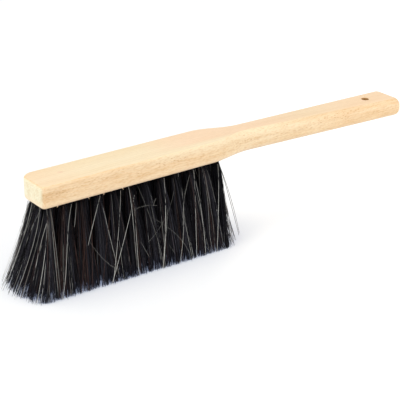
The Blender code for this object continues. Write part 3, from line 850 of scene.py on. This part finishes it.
def dashes(tree, place, scale, shift):
    """Short dashes along the grain, at most one to a cell of 1 / scale metres: 1 in a dash, 0 outside."""
    cells = add_node(tree, "TexVoronoi", {"Vector": map_place(tree, place, scale, shift), "Scale": 1.0})
    dash = ramp(tree, cells.outputs["Distance"], ((0.16, 1.0), (0.44, 0.0)))
    chosen = ramp(tree, cells.outputs["Color"], ((0.42, 0.0), (0.52, 1.0)))
    return tint(tree, 1.0, dash, chosen)


# Beech: tones on the top and underside, on the sides and on the ends, and where they change
TOP_TONE = (0.885, 0.695, 0.462)
TOP_PALER = (0.875, 0.725, 0.485)
TOP_PINKER = (0.905, 0.675, 0.462)
TOP_NEAR_BAND = (0.890, 0.745, 0.510)
HANDLE_TOP = (0.940, 0.705, 0.470)
SIDE_TONE = (0.934, 0.704, 0.445)
SIDE_PALER = (0.945, 0.757, 0.507)
# painted light: the foot of the sides made paler, as if lit from the floor below
SIDE_FOOT_PAINTED_LIGHT = (0.945, 0.745, 0.525)
SIDE_UPPER = (0.925, 0.760, 0.515)
# partly the end grain's own paleness, partly painted light: paled towards white like the brightly lit head end
END_GRAIN_AND_PAINTED_LIGHT = (0.925, 0.875, 0.665)
RAY_FLECK = (0.74, 0.57, 0.41)
# painted shade: the hanging hole's bore made dark brown, where its wall lies in shade
BORE_PAINTED_SHADE = (0.50, 0.265, 0.085)
SLOPE_START = HEAD_LENGTH + SET_DOWN_BEND_LENGTH / 2  # where the handle's straight slope seems to start
PITH = (0, 0.055, -0.035)  # less the pith's place, across and up
MARKS = (  # a darker streaked patch by the near corner, and the pinkish mark: centre, reach, share, tint
    ((HEAD_END_X + 0.007, -HEAD_HALF, 0.0975), (0.028, 0.006, 0.0065), 0.8, (0.85, 0.76, 0.65)),
    ((HEAD_END_X + 0.0334, 0.003, TOP_Z), (0.0040, 0.0030, 0.003), 0.8, (0.93, 0.76, 0.76)),
)


def beech_finish():
    """Planed and sanded beech: peach on the flat-sawn top and underside, redder along the handle, and more
    orange, speckled and flecked with rays on the sides, with end grain that is paler and partly painted light,
    growth lines, broad changes of tone, a foot on the sides made paler by painted floor light, a small pinkish
    mark on the head, painted shade in the hanging hole's bore, and a satin, slightly open skin."""
    material, tree, shader = new_material("sanded_beech")
    coordinates = add_node(tree, "TexCoord")
    place, normal = coordinates.outputs["Object"], coordinates.outputs["Normal"]
    facing = add_node(tree, "SeparateXYZ", {0: normal}).outputs
    spot = add_node(tree, "SeparateXYZ", {0: place}).outputs

    # The face it is cut on sets the tone: top and underside, sides, or ends, whose paler end grain is partly
    # painted light
    level = fade(tree, calc(tree, "ABSOLUTE", facing["Z"]), 0.985, 0.93)
    end_face = fade(tree, calc(tree, "ABSOLUTE", facing["X"]), 0.93, 0.55)
    top = blend(tree, near_along(tree, place, 0.095, 0.085), TOP_TONE, TOP_PALER)
    top = blend(tree, near_along(tree, place, 0.225, 0.110), top, TOP_PINKER)
    near_edge = fade(tree, spot["Y"], -0.017, -0.007)
    near_band = calc(tree, "MULTIPLY", near_edge, near_along(tree, place, 0.165, 0.11))
    top = blend(tree, near_band, top, TOP_NEAR_BAND)
    top = blend(tree, fade(tree, spot["X"], HEAD_END_X + 0.40, HEAD_END_X + 0.31), top, HANDLE_TOP)
    waist = calc(tree, "MULTIPLY", near_along(tree, place, 0.27, 0.11), 0.7)
    tone = blend(tree, level, blend(tree, waist, SIDE_TONE, SIDE_PALER), top)
    # the ends' tone: real paler end grain, and partly painted light
    tone = blend(tree, end_face, tone, END_GRAIN_AND_PAINTED_LIGHT)

    # Broad changes of tone everywhere, and shorter streaks that are strongest on the sides
    broad = streaks(tree, place, (7, 70, 70), 3.0)
    tone = tint(tree, 1.0, tone, ramp(tree, broad, ((0.30, (0.965, 0.925, 0.86)), (0.62, 1.0))))
    on_sides = calc(tree, "MULTIPLY_ADD", level, -0.65, 0.85)
    streaky = streaks(tree, place, (26, 380, 330), 2.5, (2.3, 0.9, 0.6))
    tone = tint(tree, on_sides, tone, ramp(tree, streaky, ((0.36, (0.92, 0.85, 0.755)), (0.60, 1.0))))

    # Growth lines round a pith that lies below and behind the board, and fine fibre
    rings = add_node(tree, "TexWave", {
        "Vector": map_place(tree, place, (0.10, 1, 1), PITH), "Scale": 150.0, "Distortion": 3.2,
        "Detail": 2.5, "Detail Scale": 0.35, "Detail Roughness": 0.6,
    }, wave_type="RINGS", rings_direction="X", wave_profile="SAW")
    line = ramp(tree, rings.outputs["Fac"], ((0.0, 1.0), (0.72, 0.985), (0.93, 0.90), (1.0, 1.0)))
    tone = tint(tree, 0.8, tone, line)
    fine = streaks(tree, place, (160, 2300, 2300))
    tone = tint(tree, 0.55, tone, ramp(tree, fine, ((0.30, 0.88), (0.60, 1.0))))

    # Height on the side, measured down from the top face: a paler foot, which is painted light as if reflected
    # up from the white floor, and a paler band high on the shoulder
    past_bend = calc(tree, "MAXIMUM", calc(tree, "SUBTRACT", spot["X"], HEAD_END_X + SLOPE_START), 0.0)
    height = calc(tree, "MULTIPLY_ADD", past_bend, TOP_SLOPE, spot["Z"])
    rise = fade(tree, height, TOP_Z, UNDERSIDE_Z, "LINEAR")
    # painted light: the side's foot paler towards the underside, as if lit by the floor
    tone = blend(tree, ramp(tree, rise, ((0.08, 0.65), (0.34, 0.0))), tone, SIDE_FOOT_PAINTED_LIGHT)
    upper = tint(tree, 1.0, ramp(tree, rise, ((0.58, 0.0), (0.88, 0.8))), near_along(tree, place, 0.20, 0.13))
    for face in (end_face, level):
        upper = calc(tree, "MULTIPLY", upper, calc(tree, "SUBTRACT", 1.0, face))
    tone = blend(tree, upper, tone, SIDE_UPPER)

    # Speckle on the sides, and ray flecks in patches that crowd above the side's middle
    speckle = streaks(tree, place, (260, 1500, 1000), 1.5, (5.1, 0.3, 1.9))
    speckle = ramp(tree, speckle, ((0.36, (0.90, 0.80, 0.67)), (0.54, 1.0)))
    tone = tint(tree, calc(tree, "MULTIPLY", on_sides, 0.80), tone, speckle)
    crowd = ((0.10, 0.10), (0.42, 0.35), (0.60, 0.95), (0.86, 1.0), (0.97, 0.45), (1.0, 0.05))
    patches = streaks(tree, place, (26, 240, 150), shift=(1.3, 0.2, 2.6))
    fleck = dashes(tree, place, (260, 1100, 820), (3.1, 1.7, 0.4))
    fleck = tint(tree, 1.0, fleck, ramp(tree, rise, crowd))
    fleck = tint(tree, 1.0, fleck, ramp(tree, patches, ((0.42, 0.0), (0.58, 1.0))))
    fleck = blend(tree, end_face, fleck, (0, 0, 0))
    tone = tint(tree, fleck, tone, RAY_FLECK)

    # The marks on the head, and painted shade in the hanging hole's bore
    for centre, reach, strength, colour in MARKS:
        near = calc(tree, "MULTIPLY", nearness(tree, place, centre, reach), strength)
        streaked = calc(tree, "MULTIPLY", near, ramp(tree, fine, ((0.35, 1.0), (0.62, 0.45))))
        tone = tint(tree, streaked, tone, colour)
    hang = HEAD_END_X + OVERALL_LENGTH - HANG_HOLE_FROM_END
    from_axis = distance(tree, map_place(tree, place, (1, 1, 0), (-hang, 0, 0)))
    # painted shade: darkens the bore of the hanging hole, which lies in shade
    painted_bore_shade = fade(tree, from_axis, HANG_HOLE_RADIUS + 0.0001, HANG_HOLE_RADIUS + 0.0004)
    tone = blend(tree, painted_bore_shade, tone, BORE_PAINTED_SHADE)

    relief = blend(tree, 0.5, fine, blend(tree, fleck, line, (0.2, 0.2, 0.2)))
    bump = add_node(tree, "Bump", {"Strength": 0.35, "Distance": 0.0002, "Height": relief})
    roughness = ramp(tree, fine, ((0.25, 0.62), (0.70, 0.48)))
    set_inputs(tree, shader, {"Base Color": tone, "Roughness": roughness, "Normal": bump.outputs[0]})
    return material


# Fibre: its colour and its gloss by its dye. Black runs to a blue-grey charcoal that is partly painted sheen,
# then come the browns and then the straws
FIBRE_COLOURS = (
    (0.00, (0.0052, 0.0045, 0.0064)),
    (0.35, (0.0092, 0.0082, 0.0140)),
    # the charcoal stops are partly the fibres' own spread of dye and partly painted sheen, blue-grey like their
    # highlights
    (0.62, (0.025, 0.024, 0.041)),
    (0.785, (0.076, 0.076, 0.112)),
    (0.80, (0.038, 0.018, 0.015)),
    (0.885, (0.135, 0.066, 0.050)),
    (0.90, (0.28, 0.275, 0.25)),
    (1.00, (0.88, 0.87, 0.81)),
)
FIBRE_GLOSS = ((0.0, 0.07), (0.40, 0.22), (0.785, 0.75), (0.80, 0.20), (1.0, 0.40))
ROOT_SHADE = ((0.0, 0.14), (0.16, 0.26), (0.40, 0.74), (0.90, 1.0))  # painted shade: darker near the head, by the share of the way to the tip


def fibre_finish():
    """Dyed fibre: blue-black to a blue-grey charcoal that partly stands for painted sheen, with undyed
    red-brown and straw-grey ones, with painted shade that makes them darker and less glossy where they leave
    the head, and with wear and a soft sheen that break along their length."""
    material, tree, shader = new_material("dyed_fibre")
    place = add_node(tree, "TexCoord").outputs["Object"]
    dye = add_node(tree, "Attribute", attribute_name="dye").outputs["Fac"]
    run = add_node(tree, "Attribute", attribute_name="run").outputs["Fac"]
    # painted shade on the fibres' colour and gloss, darkest where they leave the head
    shade = ramp(tree, run, ROOT_SHADE)
    dyed = ramp(tree, dye, ((0.885, 1.0), (0.90, 0.6)))
    colour = tint(tree, dyed, ramp(tree, dye, FIBRE_COLOURS), shade)
    breaks = streaks(tree, place, (900, 900, 60))
    wear = ramp(tree, dyed, ((0.5, 0.20), (1.0, 0.60)))
    colour = tint(tree, wear, colour, ramp(tree, breaks, ((0.32, 0.35), (0.66, 1.0))))
    bump = add_node(tree, "Bump", {"Strength": 0.25, "Distance": 0.0001, "Height": breaks})
    set_inputs(tree, shader, {
        "Base Color": colour,
        "Specular IOR Level": tint(tree, 1.0, ramp(tree, dye, FIBRE_GLOSS), shade),
        "Roughness": ramp(tree, breaks, ((0.3, 0.52), (0.7, 0.34))),
        "Normal": bump.outputs[0],
    })
    return material


# Studio
CAMERA_AZIMUTH = math.radians(-36.58)
CAMERA_ELEVATION = math.radians(23.49)
CAMERA_ROLL = math.radians(0.13)
CAMERA_PLACE = (HEAD_END_X - 0.5212, -0.9599, 0.5595)
CAMERA_CLIP_START = 0.02
LENS_MM = 117.0
FLOOR_HALF = 8.0
AWAY = (0.596, 0.803, 0)  # on the floor, directions away from the usual viewpoint and to its right
BESIDE = (0.803, -0.596, 0)
FLOOR_GREY = (0.80, 0.80, 0.80, 1)  # what lights the object
FLOOR_MATT = (0.756, 0.722, 0.612, 1)  # seen directly, with a glow that fills it to white
FLOOR_GLOW = ((0.0, (0.165, 0.210, 0.340)), (1.0, (0.325, 0.365, 0.465)))  # from its near end to its far end
FLOOR_GLOW_ENDS = (0.79, -0.31)
FLOOR_PAINTED_LIGHT = (0.135, 0.125, 0.10)  # painted light to the right of the brush's middle, which pales the handle's shadow on the floor
FLOOR_PAINTED_LIGHT_FADE = (0.06, -0.02)
AIR_COLOUR = (0.99, 0.995, 1.0, 1)
AIR_STRENGTH = 0.64
SOFTBOXES = (  # name, place, what it points at, size in metres, and power in watts
    ("top_softbox", (-0.35, 0.25, 1.5), (0, 0, 0.08), (1.2, 1.2), 9.7),
    ("left_softbox", (-1.5, -0.15, 0.55), (-0.1, 0, 0.08), (0.9, 0.7), 6.8),
    ("front_softbox", (0.8, -1.25, 0.45), (0.05, 0, 0.08), (1.0, 0.8), 8.4),
)


def place_in_scene(name, data, place, right, up):
    """An object at a place, with its right and up axes, which looks along -(right × up)."""
    thing = new_object(name, data)
    turned = Matrix((right, up, np.cross(right, up))).transposed().to_4x4()
    thing.matrix_world = Matrix.Translation(place) @ turned
    return thing


def make_camera():
    """Right and up axes from azimuth and elevation, then turned by the roll."""
    a, e, r = CAMERA_AZIMUTH, CAMERA_ELEVATION, CAMERA_ROLL
    level = np.array((math.cos(a), math.sin(a), 0))
    rising = np.array((-math.sin(a) * math.sin(e), math.cos(a) * math.sin(e), math.cos(e)))
    right = level * math.cos(r) + rising * math.sin(r)
    up = rising * math.cos(r) - level * math.sin(r)
    data = bpy.data.cameras.new("camera")
    data.lens = LENS_MM
    data.clip_start = CAMERA_CLIP_START
    bpy.context.scene.camera = place_in_scene("camera", data, CAMERA_PLACE, right, up)


def seen_directly(tree):
    """1 for rays from the camera, a mirror or glass, and 0 for the rays that light the object."""
    path = add_node(tree, "LightPath").outputs
    both = calc(tree, "MAXIMUM", path["Is Camera Ray"], path["Is Glossy Ray"])
    return calc(tree, "MAXIMUM", both, path["Is Transmission Ray"])


def show(tree, output, lighting, shown):
    """Ends a tree in one shader for what lights the object and one for what is seen."""
    mixed = add_node(tree, "MixShader", {0: seen_directly(tree), 1: lighting.outputs[0], 2: shown.outputs[0]})
    tree.links.new(mixed.outputs[0], tree.nodes[output].inputs["Surface"])


def make_floor():
    """A plain white floor. Seen directly it glows to just white, less the object's soft shadow, and more to the
    right of the brush's middle, a painted light that pales the handle's shadow there.
    """
    material, tree, shader = new_material("studio_floor")
    set_inputs(tree, shader, {"Roughness": 0.9, "Specular IOR Level": 0.0, "Base Color": FLOOR_GREY})
    place = add_node(tree, "TexCoord").outputs["Object"]
    away, beside = (
        add_node(tree, "VectorMath", {0: place, 1: way}, operation="DOT_PRODUCT").outputs["Value"]
        for way in (AWAY, BESIDE)
    )
    colour = ramp(tree, fade(tree, away, *FLOOR_GLOW_ENDS, "LINEAR"), FLOOR_GLOW)
    # painted light: more glow to the right of the brush, which pales the handle's shadow
    colour = blend(tree, fade(tree, beside, *FLOOR_PAINTED_LIGHT_FADE), colour, FLOOR_PAINTED_LIGHT, "ADD")
    glow = add_node(tree, "Emission", {"Color": colour, "Strength": 1.0})
    matt = add_node(tree, "BsdfDiffuse", {"Color": FLOOR_MATT})
    shown = add_node(tree, "AddShader", {0: glow.outputs[0], 1: matt.outputs[0]})
    show(tree, "Material Output", shader, shown)
    corners = FLOOR_HALF * np.array(((-1, -1, 0), (1, -1, 0), (1, 1, 0), (-1, 1, 0)))
    floor = new_mesh("floor", corners, [(0, 1, 2, 3)], material)


def make_world():
    """Soft even light from all round, and plain white where it is seen directly."""
    world = bpy.data.worlds.new("studio_air")
    world.use_nodes = True
    bpy.context.scene.world = world
    tree = world.node_tree
    soft = tree.nodes["Background"]
    set_inputs(tree, soft, {"Color": AIR_COLOUR, "Strength": AIR_STRENGTH})
    show(tree, "World Output", soft, add_node(tree, "Background", {"Color": (1, 1, 1, 1), "Strength": 1.0}))


def add_softbox(name, place, target, size, power):
    """A rectangular soft light that points at a target, with its right axis level."""
    data = bpy.data.lights.new(name, "AREA")
    data.shape = "RECTANGLE"
    data.size, data.size_y = size
    data.energy = power
    back = np.array(place) - np.array(target)
    right = np.cross((0, 0, 1), back)
    right /= np.linalg.norm(right)
    place_in_scene(name, data, place, right, np.cross(back / np.linalg.norm(back), right))


def main():
    """The camera, the brush in its two materials, the floor and the light."""
    make_camera()
    beech = beech_finish()
    fibre = fibre_finish()
    make_stock(beech)
    rng = np.random.default_rng(FIBRE_SEED)
    for name, along, across in TUFT_ROOTS:
        make_tuft(name, along, across, fibre, rng)
    make_standing_hairs(fibre)
    make_edge_splinters(beech)
    make_floor()
    make_world()
    for softbox in SOFTBOXES:
        add_softbox(*softbox)
    bpy.context.scene.view_settings.view_transform = "Standard"


main()
